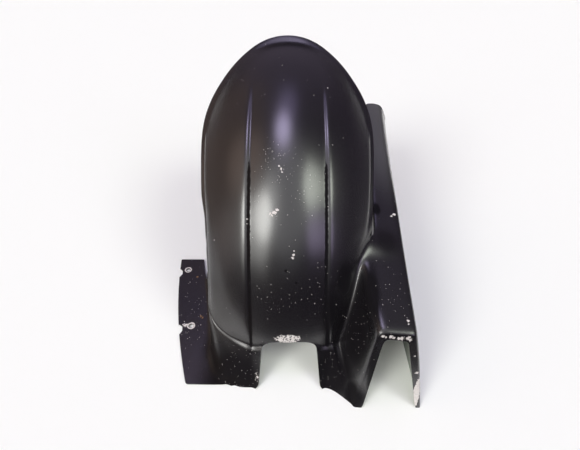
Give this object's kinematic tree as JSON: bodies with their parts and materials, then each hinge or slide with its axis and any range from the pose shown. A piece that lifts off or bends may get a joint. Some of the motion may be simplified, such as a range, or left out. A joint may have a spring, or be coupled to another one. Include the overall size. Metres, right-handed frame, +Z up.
{
  "type": "motorbike rear hugger mudguard",
  "caption": "Moulded black rear wheel hugger: a crowned arch over the tyre with a rolled tail edge, a notched front apron, a bolt-on side flange and a long chain guard channel.",
  "frame": {"origin": "middle of the footprint, on the surface that the shell stands on", "axes": "+X towards the chain guard, +Y rearward to the tail and the guard's rear end, +Z up"},
  "size_m": [0.363, 0.4518, 0.32],
  "materials": {
    "painted_shell": "worn satin black paint over white glass-fibre laminate"
  },
  "bodies": {
    "root": {"hugger_shell": "painted_shell"}
  },
  "joints": []
}
